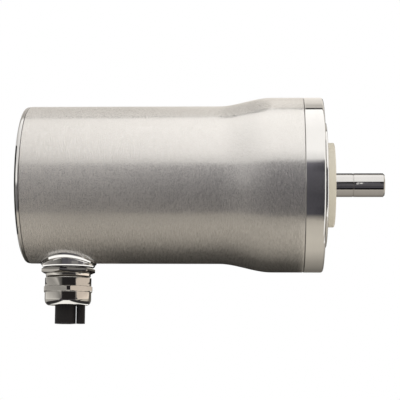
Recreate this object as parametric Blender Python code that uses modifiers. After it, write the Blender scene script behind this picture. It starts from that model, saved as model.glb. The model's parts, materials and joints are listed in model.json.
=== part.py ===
"""Stainless round gearmotor: brushed tube housing, flanged front, cable gland.

Frame: origin on the output shaft's axis, in the plane of the flange's
mounting face.  +X runs out along the shaft, +Z is up, and the cable gland
points down.  All driving dimensions are in millimetres.
"""
import math

import bmesh
import bpy
from mathutils import Matrix, Vector

MM = 0.001
GAP = 0.3                      # clearance kept between separate pieces

# ---- outside envelope, positions along the shaft axis
REAR_X = -175.2                # outer face of the rear cover
SEAM_X = -11.35                # housing meets the flange
FACE_X = 0.0                   # flange mounting face
PILOT_X = 2.0                  # face of the centring pilot
COVER_X = 6.9                  # face of the pale seal cover
TIP_X = 36.5                   # end of the output shaft

TUBE_R = 46.7                  # housing tube
BELL_R = 51.65                 # widened front of the housing, and the flange
WALL = 2.5                     # housing wall
FLARE_X0, FLARE_X1 = -61.0, -30.0
PILOT_R = 37.0
SEAL_COVER_R = 25.0
SHAFT_R = 7.0
REAR_RIM = 2.6                 # visible rim of the rear cover

# ---- cable gland, distances measured out from the motor axis
GLAND_X = -149.8
GLAND_CLOCK = 8.0              # degrees that the gland leans to the front side
BOSS_R, BOSS_END = 15.65, 48.4
GLAND_THREAD_R = 12.5
GLAND_HEX_AF, GLAND_HEX = 28.0, (49.7, 53.0)
GLAND_COLLAR_R, GLAND_COLLAR_END = 13.2, 54.7
GLAND_NECK_R, GLAND_NECK_END = 10.4, 57.5
CAP_R, CAP_BORE_R = 13.65, 10.8
CAP_TOP, CAP_END = 55.1, 71.5
CAP_HEX_AF, CAP_HEX = 28.2, (60.5, 63.9)
CABLE_END = 82.3
POWER_R, POWER_AT = 5.85, -1.7
SIGNAL_R, SIGNAL_AT = 2.4, 7.4

# ---- planetary stage
MODULE = 1.25
SUN_Z, PLANET_Z, RING_Z = 18, 18, 54
BACKLASH = 0.30                # thinning of each tooth at the pitch circle
PLANET_ANGLES = (90.0, 210.0, 330.0)
ORBIT_R = MODULE * (SUN_Z + PLANET_Z) / 2

# ---- fasteners
TIE_R, TIE_ANGLES = 38.6, (45.0, 135.0, 225.0, 315.0)
SCREW_R, SCREW_ANGLES = 42.4, (0.0, 90.0, 180.0, 270.0)
TAPPED_R, TAPPED_ANGLES, TAPPED_HOLE_R = 42.5, (45.0, 135.0, 225.0, 315.0), 2.5

# ---- facets round a turn
BIG, MID, SMALL = 32, 18, 8

PARTS = "gearmotor"
CUTTERS = "gearmotor_cutters"

FINISH = {                     # colour, roughness, metallic
    "brushed_stainless": ((0.62, 0.60, 0.57), 0.34, 1.0),
    "polished_stainless": ((0.70, 0.69, 0.67), 0.12, 1.0),
    "ground_steel": ((0.56, 0.55, 0.54), 0.25, 1.0),
    "gear_steel": ((0.42, 0.42, 0.43), 0.35, 1.0),
    "lamination": ((0.30, 0.30, 0.32), 0.45, 1.0),
    "cast_aluminium": ((0.66, 0.66, 0.67), 0.45, 1.0),
    "copper_enamel": ((0.55, 0.22, 0.08), 0.35, 0.6),
    "ferrite": ((0.10, 0.10, 0.11), 0.55, 0.0),
    "bronze": ((0.60, 0.40, 0.18), 0.35, 1.0),
    "nickel_brass": ((0.66, 0.63, 0.58), 0.16, 1.0),
    "cream_plastic": ((0.60, 0.56, 0.45), 0.45, 0.0),
    "black_rubber": ((0.02, 0.02, 0.02), 0.60, 0.0),
    "black_sheath": ((0.012, 0.012, 0.012), 0.50, 0.0),
    "board_green": ((0.03, 0.16, 0.08), 0.50, 0.0),
}

for old in list(bpy.data.objects):
    bpy.data.objects.remove(old, do_unlink=True)


# ------------------------------------------------------------------ helpers
def collection(name):
    found = bpy.data.collections.get(name) or bpy.data.collections.new(name)
    if found.name not in bpy.context.scene.collection.children:
        bpy.context.scene.collection.children.link(found)
    return found


parts_collection = collection(PARTS)
cutter_collection = collection(CUTTERS)

# local Z runs along the shaft; the gland's local Z runs down out of the tube
ALONG_SHAFT = Matrix.Rotation(math.radians(90.0), 4, "Y")
_s, _c = math.sin(math.radians(GLAND_CLOCK)), math.cos(math.radians(GLAND_CLOCK))
ALONG_GLAND = Matrix((
    (1.0, 0.0, 0.0, GLAND_X * MM),
    (0.0, -_c, -_s, 0.0),
    (0.0, _s, -_c, 0.0),
    (0.0, 0.0, 0.0, 1.0),
))


def at(x=0.0, radius=0.0, angle=0.0):
    """Frame with Z along the shaft, at a polar place round the motor axis.

    The angle runs from +Y towards +Z.
    """
    a = math.radians(angle)
    spot = Vector((x, radius * math.cos(a), radius * math.sin(a))) * MM
    return Matrix.Translation(spot) @ ALONG_SHAFT


def flat(radius, angle):
    """Point of a flat outline from its polar place round the shaft axis."""
    a = math.radians(angle)
    return (-radius * math.sin(a), radius * math.cos(a))


def circle(radius, count, centre=(0.0, 0.0)):
    return [(centre[0] + radius * math.cos(2 * math.pi * i / count),
             centre[1] + radius * math.sin(2 * math.pi * i / count))
            for i in range(count)]


def hexagon(across_flats, first_corner):
    corner = across_flats / math.sqrt(3.0)
    return [(corner * math.cos(math.radians(first_corner + 60 * i)),
             corner * math.sin(math.radians(first_corner + 60 * i)))
            for i in range(6)]


def evaluated_mesh(obj):
    graph = bpy.context.evaluated_depsgraph_get()
    mesh = bpy.data.meshes.new_from_object(obj.evaluated_get(graph))
    data = obj.data
    bpy.data.objects.remove(obj, do_unlink=True)
    if isinstance(data, bpy.types.Mesh):
        bpy.data.meshes.remove(data)
    else:
        bpy.data.curves.remove(data)
    bm = bmesh.new()
    bm.from_mesh(mesh)
    bmesh.ops.remove_doubles(bm, verts=bm.verts, dist=1e-7)
    bm.to_mesh(mesh)
    bm.free()
    mesh.shade_smooth()
    mesh.set_sharp_from_angle(angle=math.radians(32.0))
    return mesh


def turned(profile, facets):
    """Mesh turned about local Z from (position, radius) points."""
    points = list(profile)
    count = len(points)
    open_ends = points[0][1] == 0.0 and points[-1][1] == 0.0
    area = sum(points[i][1] * points[(i + 1) % count][0]
               - points[(i + 1) % count][1] * points[i][0] for i in range(count))
    if area > 0:               # the outer side runs from top to bottom
        points.reverse()
    verts = [(r * MM, 0.0, z * MM) for z, r in points]
    edges = [(i, i + 1) for i in range(count - 1)]
    if not open_ends:
        edges.append((count - 1, 0))
    mesh = bpy.data.meshes.new("profile")
    mesh.from_pydata(verts, edges, [])
    obj = bpy.data.objects.new("profile", mesh)
    cutter_collection.objects.link(obj)
    screw = obj.modifiers.new("Turn", "SCREW")
    screw.axis = "Z"
    screw.angle = 2 * math.pi
    screw.steps = screw.render_steps = facets
    screw.use_merge_vertices = True
    screw.merge_threshold = 1e-7
    screw.use_smooth_shade = True
    return evaluated_mesh(obj)


def plate(outlines, low, high):
    """Flat outlines (holes included) thickened from low to high along Z."""
    curve = bpy.data.curves.new("outline", "CURVE")
    curve.dimensions = "2D"
    curve.fill_mode = "BOTH"
    curve.extrude = (high - low) / 2 * MM
    for outline in outlines:
        spline = curve.splines.new("POLY")
        spline.points.add(len(outline) - 1)
        for point, (a, b) in zip(spline.points, outline):
            point.co = (a * MM, b * MM, 0.0, 1.0)
        spline.use_cyclic_u = True
    obj = bpy.data.objects.new("outline", curve)
    cutter_collection.objects.link(obj)
    mesh = evaluated_mesh(obj)
    mesh.transform(Matrix.Translation((0.0, 0.0, (low + high) / 2 * MM)))
    return mesh


def gathered(pieces):
    """One mesh holding several meshes, each placed by its matrix."""
    bm = bmesh.new()
    for mesh, matrix in pieces:
        copy = mesh.copy()
        copy.transform(matrix)
        bm.from_mesh(copy)
        bpy.data.meshes.remove(copy)
    mesh = bpy.data.meshes.new("gathered")
    bm.to_mesh(mesh)
    bm.free()
    return mesh


def rod(radius, low, high, facets=SMALL):
    """Plain cylinder along Z."""
    bm = bmesh.new()
    bmesh.ops.create_cone(
        bm, cap_ends=True, cap_tris=False, segments=facets,
        radius1=radius * MM, radius2=radius * MM, depth=(high - low) * MM,
        matrix=Matrix.Translation((0.0, 0.0, (low + high) / 2 * MM)))
    mesh = bpy.data.meshes.new("rod")
    bm.to_mesh(mesh)
    bm.free()
    return mesh


def finish_for(name, finish):
    colour, roughness, metallic = FINISH[finish]
    material = bpy.data.materials.new(name + "_finish")
    material.use_nodes = True
    shader = material.node_tree.nodes["Principled BSDF"]
    shader.inputs["Base Color"].default_value = (*colour, 1.0)
    shader.inputs["Roughness"].default_value = roughness
    shader.inputs["Metallic"].default_value = metallic
    material.diffuse_color = (*colour, 1.0)
    return material


def piece(name, mesh, finish, matrix=None, axis=None):
    """Named part; axis is the empty that it turns with."""
    own = mesh if mesh.users == 0 else mesh.copy()
    own.name = name
    obj = bpy.data.objects.new(name, own)
    parts_collection.objects.link(obj)
    own.materials.clear()
    own.materials.append(finish_for(name, finish))
    obj.parent = axis or body_axis
    obj.matrix_parent_inverse = obj.parent.matrix_basis.inverted()
    obj.matrix_basis = matrix or Matrix.Identity(4)
    return obj


def cutter(name, mesh, matrix=None):
    obj = bpy.data.objects.new(name, mesh)
    cutter_collection.objects.link(obj)
    obj.matrix_world = matrix or Matrix.Identity(4)
    obj.hide_render = True
    obj.display_type = "WIRE"
    return obj


def boolean(obj, tool, operation):
    modifier = obj.modifiers.new(operation.title(), "BOOLEAN")
    modifier.operation = operation
    modifier.solver = "EXACT"
    modifier.object = tool


def cut(obj, tool):
    boolean(obj, tool, "DIFFERENCE")


def join(obj, tool):
    boolean(obj, tool, "UNION")


def empty(name, place=(0.0, 0.0, 0.0), parent=None):
    obj = bpy.data.objects.new(name, None)
    obj.empty_display_size = 0.01
    parts_collection.objects.link(obj)
    obj.location = place
    obj.parent = parent
    return obj


body_axis = empty("gearmotor_body")
rotor_axis = empty("rotor_axis")
output_axis = empty("output_axis")
planet_axes = []
for index, angle in enumerate(PLANET_ANGLES, 1):
    a = math.radians(angle)
    planet_axes.append(empty(
        "planet_axis_%d" % index,
        (0.0, ORBIT_R * math.cos(a) * MM, ORBIT_R * math.sin(a) * MM)))


def flare(x):
    """Outer radius of the housing along its length."""
    t = min(1.0, max(0.0, (x - FLARE_X0) / (FLARE_X1 - FLARE_X0)))
    return TUBE_R + (BELL_R - TUBE_R) * t * t * (3.0 - 2.0 * t)


def steps(low, high, count):
    return [low + (high - low) * i / count for i in range(count + 1)]


# ------------------------------------------------------- housing and covers
front_end, rear_end = SEAM_X - GAP, REAR_X + REAR_RIM + GAP
outer = [(front_end, BELL_R - 0.3), (front_end - 0.3, BELL_R)]
outer += [(x, flare(x)) for x in steps(FLARE_X1, FLARE_X0, 7)]
outer += [(rear_end + 0.3, TUBE_R), (rear_end, TUBE_R - 0.3)]
inner = [(rear_end, TUBE_R - WALL)]
inner += [(x, flare(x) - WALL) for x in steps(FLARE_X0, FLARE_X1, 3)]
inner += [(front_end, BELL_R - WALL)]
housing = piece("motor_housing", turned(outer + inner, BIG),
                "brushed_stainless", at())
cut(housing, cutter("gland_hole", rod(GLAND_THREAD_R + 0.6, 30.0, 60.0, MID),
                    ALONG_GLAND))

spigot_r = TUBE_R - WALL - GAP
plate_in = REAR_X + 3.8
rear_cover = piece("rear_cover", turned([
    (REAR_X, 0.0), (REAR_X, TUBE_R - 1.4), (REAR_X + 0.35, TUBE_R - 0.45),
    (REAR_X + 1.3, TUBE_R), (REAR_X + REAR_RIM, TUBE_R),
    (REAR_X + REAR_RIM, spigot_r), (REAR_X + 4.0, spigot_r),
    (REAR_X + 4.0, spigot_r - 2.4), (REAR_X + 6.8, spigot_r - 2.4),
    (REAR_X + 6.8, spigot_r), (REAR_X + 9.6, spigot_r),
    (REAR_X + 9.6, 35.5), (plate_in, 35.5), (plate_in, 0.0)], BIG),
    "polished_stainless", at())


def ring_of(radius, section, facets, sides, centre):
    """O-ring: a round section turned about the axis."""
    return turned([(centre + section * math.cos(2 * math.pi * i / sides),
                    radius + section * math.sin(2 * math.pi * i / sides))
                   for i in range(sides)], facets)


piece("rear_cover_seal",
      ring_of(spigot_r - 1.2, 1.0, 28, 5, 0.0), "black_rubber",
      at(REAR_X + 5.4))

bell_r = BELL_R - WALL - GAP
FLANGE_BACK = -18.4
BEARING_SEAT = 17.8
flange = piece("front_flange", turned([
    (FACE_X, BELL_R - 1.3), (FACE_X - 0.38, BELL_R - 0.38),
    (FACE_X - 1.3, BELL_R), (SEAM_X + 0.3, BELL_R), (SEAM_X, BELL_R - 0.3),
    (SEAM_X, bell_r), (-13.3, bell_r), (-13.3, bell_r - 2.45),
    (-16.2, bell_r - 2.45), (-16.2, bell_r), (FLANGE_BACK, bell_r),
    (FLANGE_BACK, BEARING_SEAT), (-17.7, BEARING_SEAT), (-17.7, 19.0),
    (-16.2, 19.0), (-16.2, BEARING_SEAT), (-5.7, BEARING_SEAT),
    (-5.7, 10.0), (-4.2, 10.0), (-4.2, 13.0), (PILOT_X, 13.0),
    (PILOT_X, PILOT_R - 0.4), (PILOT_X - 0.4, PILOT_R), (FACE_X, PILOT_R)],
    BIG), "polished_stainless", at())
piece("flange_seal", ring_of(bell_r - 1.2, 1.0, 28, 5, 0.0), "black_rubber",
      at(-14.75))

tapped = turned([(0.5, 0.0), (0.5, TAPPED_HOLE_R + 0.6),
                 (0.0, TAPPED_HOLE_R + 0.6), (-0.6, TAPPED_HOLE_R),
                 (-9.0, TAPPED_HOLE_R), (-10.2, 0.0)], SMALL)
cut(flange, cutter("flange_tapped_holes", gathered(
    [(tapped, at(FACE_X, TAPPED_R, a)) for a in TAPPED_ANGLES])))


# ------------------------------------------------------ countersunk screws
HEAD_R, SHANK_R, SUNK = 3.8, 1.9, 0.5


def screw_mesh(length):
    """Countersunk screw with its head at z = 0, shank running to -length."""
    return turned([(0.0, 0.0), (0.0, HEAD_R), (-HEAD_R + SHANK_R, SHANK_R),
                   (-length + 0.6, SHANK_R), (-length, 0.0)], SMALL)


def screw_clearance(length):
    r = SHANK_R + GAP
    return turned([(3.0, 0.0), (3.0, HEAD_R + 0.45), (0.0, HEAD_R + 0.45),
                   (r - HEAD_R - 0.45, r), (-length - 0.6, r),
                   (-length - 0.6, 0.0)], SMALL)


FLANGE_SCREW_LENGTH, TIE_LENGTH = 33.0, 116.5
backwards = Matrix.Rotation(math.pi, 4, "X")      # head faces the rear
screw_places = [at(FACE_X - SUNK, SCREW_R, a) for a in SCREW_ANGLES]
tie_places = [at(REAR_X + SUNK, TIE_R, a) @ backwards for a in TIE_ANGLES]
socket = plate([hexagon(2.5, 0.0)], -1.7, 1.0)

screw_holes = cutter("flange_screw_holes", gathered(
    [(screw_clearance(FLANGE_SCREW_LENGTH), m) for m in screw_places]))
tie_holes = cutter("tie_bolt_holes", gathered(
    [(screw_clearance(TIE_LENGTH), m) for m in tie_places]))
sockets = cutter("screw_sockets", gathered(
    [(socket, m) for m in screw_places + tie_places]))
cut(flange, screw_holes)
cut(rear_cover, tie_holes)
for index, place in enumerate(screw_places, 1):
    screw = piece("flange_screw_%d" % index, screw_mesh(FLANGE_SCREW_LENGTH),
                  "ground_steel", place)
    cut(screw, sockets)
for index, place in enumerate(tie_places, 1):
    bolt = piece("tie_bolt_%d" % index, screw_mesh(TIE_LENGTH),
                 "ground_steel", place)
    cut(bolt, sockets)


# ------------------------------------------------------------ ball bearings
def bearing(name, inner_r, inner_land, outer_land, outer_r, width, ball_r,
            balls, facets, x, turning):
    """Inner ring, outer ring and caged balls, centred at x."""
    half, pitch = width / 2, (inner_land + outer_land) / 2
    piece(name + "_outer", turned([
        (half, outer_r), (-half, outer_r), (-half, outer_land),
        (0.0, outer_land + 0.7), (half, outer_land)], facets),
        "ground_steel", at(x))
    piece(name + "_inner", turned([
        (half, inner_land), (0.0, inner_land - 0.7), (-half, inner_land),
        (-half, inner_r), (half, inner_r)], facets),
        "ground_steel", at(x), turning)
    bm = bmesh.new()
    for i in range(balls):
        a = 2 * math.pi * i / balls
        bmesh.ops.create_uvsphere(
            bm, u_segments=6, v_segments=4, radius=ball_r * MM,
            matrix=Matrix.Translation((pitch * math.cos(a) * MM,
                                       pitch * math.sin(a) * MM, 0.0)))
    spheres = bpy.data.meshes.new("balls")
    bm.to_mesh(spheres)
    bm.free()
    cage = piece(name + "_balls", turned([
        (0.9, pitch + 0.5), (-0.9, pitch + 0.5), (-0.9, pitch - 0.5),
        (0.9, pitch - 0.5)], facets), "ground_steel", at(x), turning)
    join(cage, cutter(name + "_ball_set", spheres, at(x)))


OUTPUT_BEARING_X, CARRIER_BEARING_X = -11.0, -49.7
MOTOR_FRONT_X, MOTOR_REAR_X = -61.3, -126.0
bearing("output_bearing", 8.5, 11.0, 15.2, 17.5, 10.0, 2.3, 7, 16,
        OUTPUT_BEARING_X, output_axis)
bearing("carrier_bearing", 17.5, 19.2, 22.2, 23.5, 7.0, 1.5, 8, 18,
        CARRIER_BEARING_X, output_axis)
bearing("front_bearing", 7.5, 9.7, 13.7, 16.0, 9.0, 2.1, 7, 16,
        MOTOR_FRONT_X, rotor_axis)
bearing("rear_bearing", 7.5, 9.7, 13.7, 16.0, 9.0, 2.1, 7, 16,
        MOTOR_REAR_X, rotor_axis)

piece("bearing_circlip", plate([
    circle(18.6, MID), circle(15.6, MID)], -0.55, 0.55),
    "gear_steel", at(-16.95))


# ------------------------------------------------------------ bearing shields
rear_shield = piece("rear_bearing_shield", turned([
    (-121.3, spigot_r), (-134.0, spigot_r), (-134.0, 6.6), (-132.4, 6.6),
    (-132.4, 16.3), (-121.3, 16.3)], BIG), "cast_aluminium", at())
front_shield = piece("front_bearing_shield", turned([
    (-45.5, spigot_r), (-66.0, spigot_r), (-66.0, 16.3), (-56.5, 16.3),
    (-56.5, 9.6), (-53.5, 9.6), (-53.5, 23.8), (-45.5, 23.8)], BIG),
    "cast_aluminium", at())
cut(rear_shield, tie_holes)
cut(front_shield, tie_holes)
lead_hole = cutter("lead_hole", rod(4.2, -145.0, -110.0), at(0.0, 27.0, 270.0))
cut(rear_shield, lead_hole)

# wave washer that preloads the rear bearing
wave = turned([(0.25, 15.6), (-0.25, 15.6), (-0.25, 12.6), (0.25, 12.6)], MID)
for vertex in wave.vertices:
    turn = math.atan2(vertex.co.y, vertex.co.x)
    vertex.co.z += 0.3 * math.cos(3 * turn) * MM
piece("preload_washer", wave, "gear_steel", at(-131.4))


# ------------------------------------------------------------------- stator
STACK = (-112.0, -76.0)
SLOTS = 12
BORE_R, LIP_R, SLOT_R = 25.0, 26.4, 35.2


def slot_half(radius, inset=0.0):
    """Half angle of a slot, leaving parallel-sided teeth."""
    half_pitch = math.pi / SLOTS
    return math.degrees(half_pitch - math.asin((3.6 + inset) / radius))


bore = []
for i in range(SLOTS):
    middle = 360.0 / SLOTS * (i + 0.5)
    mouth = math.degrees(1.6 / BORE_R)
    wide, deep = slot_half(LIP_R + 0.6), slot_half(SLOT_R)
    bore += [flat(BORE_R, middle - 360.0 / SLOTS / 2),
             flat(BORE_R, middle - mouth), flat(LIP_R, middle - mouth),
             flat(LIP_R + 0.6, middle - wide), flat(SLOT_R, middle - deep),
             flat(SLOT_R, middle + deep), flat(LIP_R + 0.6, middle + wide),
             flat(LIP_R, middle + mouth), flat(BORE_R, middle + mouth)]
tie_circles = []
for angle in TIE_ANGLES:
    tie_circles.append(circle(SHANK_R + GAP, SMALL, flat(TIE_R, angle)))
piece("stator_core", plate([circle(spigot_r, BIG), bore] + tie_circles, *STACK),
      "lamination", at())

# copper: slot sides joined by an end turn at each end of the stack
bars = []
for i in range(SLOTS):
    middle = 360.0 / SLOTS * (i + 0.5)
    low, high = LIP_R + 1.2, SLOT_R - 0.5
    bars.append([flat(low, middle - slot_half(low, 0.5)),
                 flat(high, middle - slot_half(high, 0.5)),
                 flat(high, middle + slot_half(high, 0.5)),
                 flat(low, middle + slot_half(low, 0.5))])
winding = piece("stator_winding", turned([
    (-112.6, 34.6), (-119.4, 34.6), (-119.4, 28.6), (-112.6, 28.6)], MID),
    "copper_enamel", at())
join(winding, cutter("slot_sides", plate(bars, -117.0, -71.0), at()))
join(winding, cutter("front_end_turn", turned([
    (-68.6, 34.6), (-75.4, 34.6), (-75.4, 28.6), (-68.6, 28.6)], MID), at()))


# -------------------------------------------------------------------- rotor
piece("rotor_shaft", turned([
    (-25.6, 0.0), (-25.6, 5.3), (-26.0, 5.7), (-53.0, 5.7), (-53.0, 7.1),
    (-66.2, 7.1), (-66.2, 8.5), (-120.9, 8.5), (-120.9, 7.1), (-131.0, 7.1),
    (-131.0, 5.0), (-139.5, 5.0), (-139.5, 0.0)], 20),
    "ground_steel", at(), rotor_axis)
piece("rotor_core", plate([circle(20.2, 28), circle(8.9, 20)], *STACK),
      "lamination", at(), rotor_axis)
piece("rotor_magnet_ring", turned([
    (-77.0, 24.2), (-111.0, 24.2), (-111.0, 20.7), (-77.0, 20.7)], 28),
    "ferrite", at(), rotor_axis)
piece("encoder_magnet", turned([
    (-135.0, 8.2), (-139.0, 8.2), (-139.0, 5.3), (-135.0, 5.3)], 20),
    "ferrite", at(), rotor_axis)
board = piece("sensor_board", plate([
    circle(33.0, BIG), circle(9.5, MID)], -136.0, -134.4), "board_green", at())
cut(board, lead_hole)


# ---------------------------------------------------------- planetary stage
PRESSURE = math.radians(20.0)


def involute(angle):
    return math.tan(angle) - angle


def gear_outline(teeth, internal, first_tooth):
    """Toothed outline; angles run round the shaft from +Y towards +Z."""
    pitch_r = MODULE * teeth / 2
    base_r = pitch_r * math.cos(PRESSURE)
    half_at_pitch = math.pi / (2 * teeth) - BACKLASH / 2 / pitch_r
    sign = -1.0 if internal else 1.0

    def half(radius):
        reach = max(radius, base_r)
        turn = involute(math.acos(base_r / reach)) - involute(PRESSURE)
        return math.degrees(half_at_pitch - sign * turn)

    tip = pitch_r + sign * MODULE
    root = pitch_r - sign * 1.25 * MODULE
    radii = [root, tip] if internal else [root, pitch_r - 0.25 * MODULE, tip]
    points = []
    for i in range(teeth):
        middle = first_tooth + 360.0 / teeth * i
        points += [flat(r, middle - half(r)) for r in radii]
        points += [flat(r, middle + half(r)) for r in reversed(radii)]
    return points


GEAR = (-38.8, -25.5)
piece("sun_gear", plate([gear_outline(SUN_Z, False, PLANET_ANGLES[0]),
                         circle(6.1, 20)], *GEAR),
      "gear_steel", at(), rotor_axis)
ring = piece("ring_gear", plate([
    circle(46.9, BIG), gear_outline(RING_Z, True, PLANET_ANGLES[0])],
    -41.5, -18.8), "gear_steel", at())
cut(ring, screw_holes)

for index, (angle, axis) in enumerate(zip(PLANET_ANGLES, planet_axes), 1):
    here = at(0.0, ORBIT_R, angle)
    piece("planet_gear_%d" % index, plate([
        gear_outline(PLANET_Z, False, angle + 180.0 / PLANET_Z),
        circle(6.0, 14)], *GEAR), "gear_steel", here, axis)
    piece("planet_bush_%d" % index, turned([
        (GEAR[0] + 0.2, 5.6), (GEAR[1] - 0.2, 5.6), (GEAR[1] - 0.2, 4.4),
        (GEAR[0] + 0.2, 4.4)], 12), "bronze", here, axis)
    piece("planet_pin_%d" % index, turned([
        (-19.3, 0.0), (-19.3, 4.0), (-44.6, 4.0), (-44.6, 0.0)], 12), "ground_steel", here, output_axis)

pin_holes = cutter("pin_holes", gathered(
    [(rod(4.0 + GAP, -60.0, 0.0, 12), at(0.0, ORBIT_R, a))
     for a in PLANET_ANGLES]))
front_plate = piece("carrier_front_plate", turned([
    (-18.9, 32.0), (-25.1, 32.0), (-25.1, 9.4), (-18.9, 9.4)], 28), "gear_steel", at(), output_axis)
rear_plate = piece("carrier_rear_plate", turned([
    (-39.2, 32.0), (-45.0, 32.0), (-45.0, 17.1), (-53.2, 17.1),
    (-53.2, 13.2), (-39.2, 13.2)], 28), "gear_steel", at(), output_axis)
cut(front_plate, pin_holes)
cut(rear_plate, pin_holes)

# output shaft: fine groove and a small spot recess part-way along
shaft = piece("output_shaft", turned([
    (TIP_X, 0.0), (TIP_X, SHAFT_R - 0.8), (TIP_X - 0.8, SHAFT_R),
    (18.45, SHAFT_R), (18.25, SHAFT_R - 0.25), (17.95, SHAFT_R - 0.25),
    (17.75, SHAFT_R), (-4.5, SHAFT_R), (-4.5, 8.2), (-16.3, 8.2),
    (-16.3, 10.2), (-18.6, 10.2), (-18.6, 9.0), (-24.7, 9.0), (-24.7, 0.0)],
    MID), "polished_stainless", at(), output_axis)
SPOT_X, SPOT_ANGLE = 20.2, 171.0
bm = bmesh.new()
bmesh.ops.create_uvsphere(bm, u_segments=10, v_segments=7, radius=1.6 * MM)
spot = bpy.data.meshes.new("spot")
bm.to_mesh(spot)
bm.free()
cut(shaft, cutter("shaft_spot", spot, at(SPOT_X, SHAFT_R + 1.1, SPOT_ANGLE)))

piece("shaft_lip_seal", turned([
    (-0.3, 12.6), (-3.9, 12.6), (-3.9, 11.4), (-1.5, 11.4), (-1.5, 9.4),
    (-3.2, 8.8), (-3.2, 7.4), (-0.3, 8.2)], MID), "black_rubber", at())
piece("seal_cover", turned([
    (COVER_X, SEAL_COVER_R - 0.6), (COVER_X - 0.2, SEAL_COVER_R - 0.2),
    (COVER_X - 0.6, SEAL_COVER_R), (PILOT_X + GAP, SEAL_COVER_R),
    (PILOT_X + GAP, 12.6), (0.0, 12.6), (0.0, 7.4), (COVER_X - 0.5, 7.4),
    (COVER_X, 7.9)], 32), "cream_plastic", at())


# --------------------------------------------------------------- cable gland
boss = piece("gland_boss", turned([
    (BOSS_END, BOSS_R - 0.7), (BOSS_END - 0.7, BOSS_R), (40.0, BOSS_R),
    (40.0, GLAND_THREAD_R + GAP), (BOSS_END, GLAND_THREAD_R + GAP)], 32),
    "polished_stainless", ALONG_GLAND)
# its foot is a thin pad that lies on the tube, wider to the front and back
foot = []
for i in range(40):
    a = 2 * math.pi * i / 40
    reach = BOSS_R + 0.75 + 3.8 * math.sin(a) ** 2
    foot.append((reach * math.cos(a), reach * math.sin(a)))
pad = cutter("boss_pad", plate([foot, circle(14.2, 32)], 36.0, 60.0),
             ALONG_GLAND)
boolean(pad, cutter("boss_pad_top", rod(TUBE_R + 1.6, -60.0, 60.0, 80),
                    at(GLAND_X)), "INTERSECT")
join(boss, pad)
cut(boss, cutter("boss_saddle", rod(TUBE_R + GAP, -60.0, 60.0, 80),
                 at(GLAND_X)))

piece("gland_washer", turned([
    (BOSS_END + 0.95, 14.4), (BOSS_END + 0.3, 14.4), (BOSS_END + 0.3, 12.8),
    (BOSS_END + 0.95, 12.8)], MID), "black_rubber", ALONG_GLAND)

LEAD_BORE = 9.2
gland = piece("gland_body", turned([
    (40.8, GLAND_THREAD_R - 0.6), (41.4, GLAND_THREAD_R),
    (50.6, GLAND_THREAD_R), (50.6, GLAND_COLLAR_R),
    (GLAND_COLLAR_END - 0.3, GLAND_COLLAR_R),
    (GLAND_COLLAR_END, GLAND_COLLAR_R - 0.3),
    (GLAND_COLLAR_END, GLAND_NECK_R),
    (GLAND_NECK_END, GLAND_NECK_R), (GLAND_NECK_END, LEAD_BORE),
    (40.8, LEAD_BORE)], 28), "nickel_brass", ALONG_GLAND)
join(gland, cutter("gland_hexagon", plate(
    [hexagon(GLAND_HEX_AF, 100.7), circle(9.8, MID)], *GLAND_HEX), ALONG_GLAND))

cap = piece("gland_cap_nut", turned([
    (CAP_TOP, CAP_R - 0.8), (CAP_TOP + 0.8, CAP_R), (68.7, CAP_R),
    (69.9, CAP_R - 0.35), (70.9, CAP_R - 1.1), (CAP_END, CAP_R - 2.1),
    (CAP_END, CAP_BORE_R), (CAP_TOP, CAP_BORE_R)], 28),
    "nickel_brass", ALONG_GLAND)
join(cap, cutter("cap_hexagon", plate(
    [hexagon(CAP_HEX_AF, 81.0), circle(12.0, MID)], *CAP_HEX), ALONG_GLAND))

piece("gland_insert", plate([
    circle(CAP_BORE_R - GAP, MID),
    circle(POWER_R + 0.25, 16, (POWER_AT, 0.0)),
    circle(SIGNAL_R + 0.25, SMALL, (SIGNAL_AT, 0.0))], 61.0, 71.2),
    "black_rubber", ALONG_GLAND)


def cable(name, radius, outside, inside, inner_end):
    """Sheathed lead, from its cut end up through the gland into the housing."""
    curve = bpy.data.curves.new(name, "CURVE")
    curve.dimensions = "3D"
    curve.bevel_depth = radius * MM
    curve.bevel_resolution = 3
    curve.use_fill_caps = True
    high, low = 61.5, 52.0     # the lead eases inwards between these
    route = [CABLE_END, 72.0] + steps(high, low, 4) + [46.0, inner_end]
    spline = curve.splines.new("POLY")
    spline.points.add(len(route) - 1)
    for point, z in zip(spline.points, route):
        t = min(1.0, max(0.0, (high - z) / (high - low)))
        x = outside + (inside - outside) * t * t * (3.0 - 2.0 * t)
        point.co = (x * MM, 0.0, z * MM, 1.0)
    obj = bpy.data.objects.new(name, curve)
    cutter_collection.objects.link(obj)
    return evaluated_mesh(obj)


piece("power_cable", cable("power_lead", POWER_R, POWER_AT, -3.1, 33.0),
      "black_sheath", ALONG_GLAND)
piece("signal_cable", cable("signal_lead", SIGNAL_R, SIGNAL_AT, 5.6, 33.0),
      "black_sheath", ALONG_GLAND)
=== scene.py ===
"""Looks of a round stainless gearmotor: turned and brushed metal, a seal cover, a cable gland, light and camera."""

import json
import math

import bmesh
import bpy
import numpy as np
from mathutils import Matrix, Vector


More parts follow.
